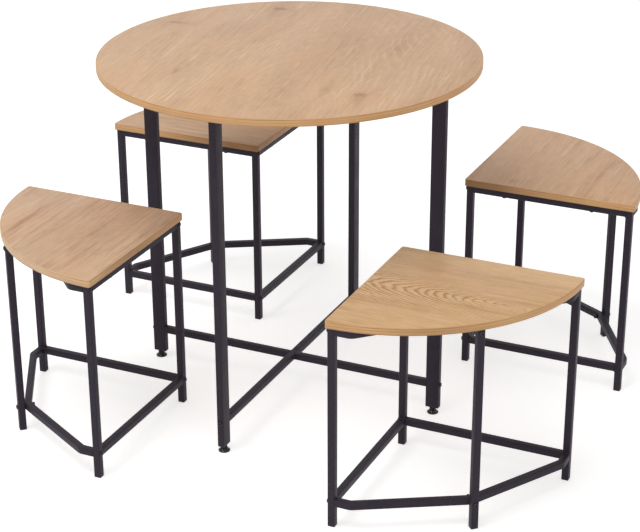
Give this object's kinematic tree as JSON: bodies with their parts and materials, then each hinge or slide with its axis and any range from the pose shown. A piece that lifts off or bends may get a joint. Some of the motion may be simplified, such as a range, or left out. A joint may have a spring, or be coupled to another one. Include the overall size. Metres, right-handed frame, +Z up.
{
  "type": "dining table and stools set",
  "caption": "Round dining table on flat-tube legs with crossed bars and screw levelling feet, and backless quarter-round stools on bent-rail frames that push in under it.",
  "frame": {"origin": "on the floor, under the middle of the rectangle that the table and the four pulled-out stools cover", "axes": "+Z up through the table top; +X from the left table leg to the right one, +Y from the front leg to the back one"},
  "size_m": [1.287, 1.189, 0.765],
  "materials": {
    "wood_board": "matte oak-look surface with fine grain",
    "frame_steel": "matte charcoal powder coat",
    "black_plastic": "matte black moulded plastic",
    "black_bolts": "black oxide, satin",
    "foot_plastic": "glossy black moulded plastic",
    "foot_stud_steel": "dark zinc-plated steel"
  },
  "bodies": {
    "table": {"table_top": "wood_board", "table_leg_right": "frame_steel", "table_leg_back": "frame_steel", "table_leg_left": "frame_steel", "table_leg_front": "frame_steel", "lower_bar_left_right": "frame_steel", "lower_bar_front_back": "frame_steel", "upper_bar_left_right": "frame_steel", "upper_bar_front_back": "frame_steel", "leg_inserts": "black_plastic", "table_bolts": "black_bolts"},
    "front_left_stool": {"front_left_stool_seat": "wood_board", "front_left_stool_corner_leg": "frame_steel", "front_left_stool_left_leg": "frame_steel", "front_left_stool_right_leg": "frame_steel", "front_left_stool_middle_leg": "frame_steel", "front_left_stool_leg_plugs": "black_plastic", "front_left_stool_straight_rails": "frame_steel", "front_left_stool_bent_rails": "frame_steel", "front_left_stool_bolts": "black_bolts"},
    "back_left_stool": {"back_left_stool_seat": "wood_board", "back_left_stool_corner_leg": "frame_steel", "back_left_stool_left_leg": "frame_steel", "back_left_stool_right_leg": "frame_steel", "back_left_stool_middle_leg": "frame_steel", "back_left_stool_leg_plugs": "black_plastic", "back_left_stool_straight_rails": "frame_steel", "back_left_stool_bent_rails": "frame_steel", "back_left_stool_bolts": "black_bolts"},
    "front_right_stool": {"front_right_stool_seat": "wood_board", "front_right_stool_corner_leg": "frame_steel", "front_right_stool_left_leg": "frame_steel", "front_right_stool_right_leg": "frame_steel", "front_right_stool_middle_leg": "frame_steel", "front_right_stool_leg_plugs": "black_plastic", "front_right_stool_straight_rails": "frame_steel", "front_right_stool_bent_rails": "frame_steel", "front_right_stool_bolts": "black_bolts"},
    "back_right_stool": {"back_right_stool_seat": "wood_board", "back_right_stool_corner_leg": "frame_steel", "back_right_stool_left_leg": "frame_steel", "back_right_stool_right_leg": "frame_steel", "back_right_stool_middle_leg": "frame_steel", "back_right_stool_leg_plugs": "black_plastic", "back_right_stool_straight_rails": "frame_steel", "back_right_stool_bent_rails": "frame_steel", "back_right_stool_bolts": "black_bolts"},
    "foot_base_right": {"foot_base_right": "foot_plastic"},
    "foot_stud_right": {"foot_stud_right": "foot_stud_steel"},
    "foot_base_back": {"foot_base_back": "foot_plastic"},
    "foot_stud_back": {"foot_stud_back": "foot_stud_steel"},
    "foot_base_left": {"foot_base_left": "foot_plastic"},
    "foot_stud_left": {"foot_stud_left": "foot_stud_steel"},
    "foot_base_front": {"foot_base_front": "foot_plastic"},
    "foot_stud_front": {"foot_stud_front": "foot_stud_steel"}
  },
  "joints": [
    {"name": "front_left_stool_slide", "type": "slide", "parent": "table", "child": "front_left_stool", "axis": [0.7202, 0.6937, 0], "range_m": [0, 0.2263]},
    {"name": "back_left_stool_slide", "type": "slide", "parent": "table", "child": "back_left_stool", "axis": [0.622, -0.783, 0], "range_m": [0, 0.3167]},
    {"name": "front_right_stool_slide", "type": "slide", "parent": "table", "child": "front_right_stool", "axis": [-0.9193, 0.3936, 0], "range_m": [0, 0.3328]},
    {"name": "back_right_stool_slide", "type": "slide", "parent": "table", "child": "back_right_stool", "axis": [-0.7639, -0.6454, 0], "range_m": [0, 0.3796]},
    {"name": "foot_right_height", "type": "slide", "parent": "table", "child": "foot_base_right", "axis": [0, 0, 1], "range_m": [-0.01, 0.00125]},
    {"name": "foot_right_screw", "type": "hinge", "parent": "foot_base_right", "child": "foot_stud_right", "pos_m": [0.2815, -0.0455, 0], "axis": [0, 0, 1], "range_deg": [-2881, 361]},
    {"name": "foot_back_height", "type": "slide", "parent": "table", "child": "foot_base_back", "axis": [0, 0, 1], "range_m": [-0.01, 0.00125]},
    {"name": "foot_back_screw", "type": "hinge", "parent": "foot_base_back", "child": "foot_stud_back", "pos_m": [-0.0545, 0.2905, 0], "axis": [0, 0, 1], "range_deg": [-2881, 361]},
    {"name": "foot_left_height", "type": "slide", "parent": "table", "child": "foot_base_left", "axis": [0, 0, 1], "range_m": [-0.01, 0.00125]},
    {"name": "foot_left_screw", "type": "hinge", "parent": "foot_base_left", "child": "foot_stud_left", "pos_m": [-0.3905, -0.0455, 0], "axis": [0, 0, 1], "range_deg": [-2881, 361]},
    {"name": "foot_front_height", "type": "slide", "parent": "table", "child": "foot_base_front", "axis": [0, 0, 1], "range_m": [-0.01, 0.00125]},
    {"name": "foot_front_screw", "type": "hinge", "parent": "foot_base_front", "child": "foot_stud_front", "pos_m": [-0.0545, -0.3815, 0], "axis": [0, 0, 1], "range_deg": [-2881, 361]}
  ],
  "couplings": [
    {"joint": "foot_right_screw", "follows": "foot_right_height", "rad_per_m": 5026.5},
    {"joint": "foot_back_screw", "follows": "foot_back_height", "rad_per_m": 5026.5},
    {"joint": "foot_left_screw", "follows": "foot_left_height", "rad_per_m": 5026.5},
    {"joint": "foot_front_screw", "follows": "foot_front_height", "rad_per_m": 5026.5}
  ]
}
